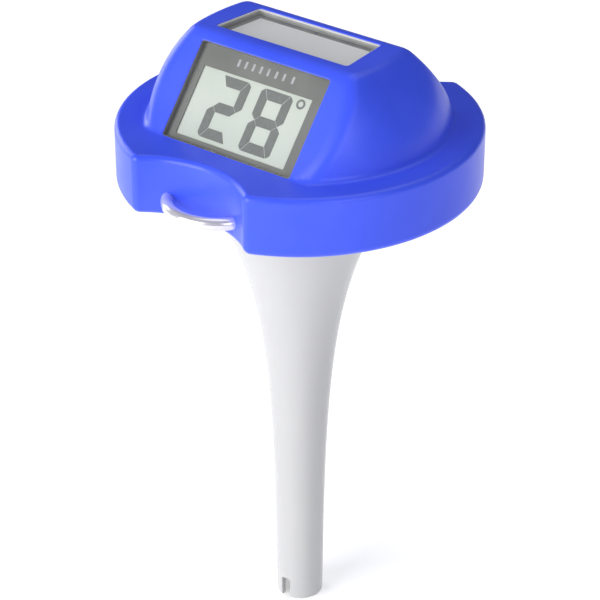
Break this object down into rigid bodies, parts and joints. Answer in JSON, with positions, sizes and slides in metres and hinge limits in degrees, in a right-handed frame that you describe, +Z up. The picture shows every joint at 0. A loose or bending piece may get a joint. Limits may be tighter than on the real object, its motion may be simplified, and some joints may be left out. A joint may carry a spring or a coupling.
{
  "type": "floating pool thermometer",
  "caption": "Round scalloped float with a sloped digital display and a solar window in a raised housing, and a long flared hollow stem that holds a water sensor.",
  "frame": {"origin": "on the float's axis, at the water line it floats at", "axes": "+Z up along the stem and float axis, -Y towards the side of the display and the tether bar"},
  "size_m": [0.12, 0.115, 0.2149],
  "materials": {
    "shell_blue": "satin moulded plastic",
    "cover_blue": "satin moulded plastic",
    "seal_rubber": "matt rubber",
    "screw_steel": "passivated stainless steel",
    "bar_chrome": "polished",
    "clear_window": "clear, polished",
    "bezel_grey": "printed grey film",
    "lcd_glass": "polarised display glass",
    "reflector_film": "satin film",
    "contact_rubber": "matt rubber",
    "frame_plastic": "matt moulded plastic",
    "circuit_board": "green solder mask",
    "ribbon_film": "amber film",
    "solar_cell": "pale amorphous cell",
    "lead_red": "insulated wire",
    "component_black": "moulded package",
    "cell_steel": "nickel plated",
    "connector_plastic": "ivory moulded plastic",
    "lead_black": "flexible jacket",
    "sensor_bead": "epoxy coated bead",
    "probe_steel": "drawn stainless steel",
    "ballast_iron": "plain",
    "stem_white": "glossy moulded plastic",
    "button_grey": "satin moulded plastic",
    "boot_silicone": "soft silicone"
  },
  "bodies": {
    "float": {"upper_shell": "shell_blue", "lower_cover": "cover_blue", "shell_seal": "seal_rubber", "cover_screws": "screw_steel", "tether_bar": "bar_chrome", "lcd_window": "clear_window", "display_bezel": "bezel_grey", "lcd_panel": "lcd_glass", "lcd_reflector": "reflector_film", "zebra_strips": "contact_rubber", "display_frame": "frame_plastic", "display_board": "circuit_board", "display_screws": "screw_steel", "ribbon_cable": "ribbon_film", "solar_window": "clear_window", "solar_gasket": "seal_rubber", "solar_panel": "solar_cell", "solar_bracket": "frame_plastic", "bracket_screws": "screw_steel", "solar_lead": "lead_red", "main_board": "circuit_board", "board_screws": "screw_steel", "board_components": "component_black", "battery_holder": "component_black", "battery_cell": "cell_steel", "lead_connector": "connector_plastic", "sensor_lead": "lead_black", "thermistor": "sensor_bead", "probe_sleeve": "probe_steel", "probe_plug": "seal_rubber", "ballast_weight": "ballast_iron", "stem": "stem_white", "stem_seal": "seal_rubber", "stem_screws": "screw_steel", "button_boot": "boot_silicone", "boot_retainer": "frame_plastic", "retainer_screws": "screw_steel", "tact_switch": "component_black"},
    "button": {"unit_button": "button_grey", "switch_plunger": "connector_plastic"}
  },
  "joints": [
    {"name": "button_press", "type": "slide", "parent": "float", "child": "button", "axis": [0, 0, 1], "range_m": [0, 0.0006], "stiffness_N_per_m": 3000, "deforming": ["button_boot"]}
  ]
}
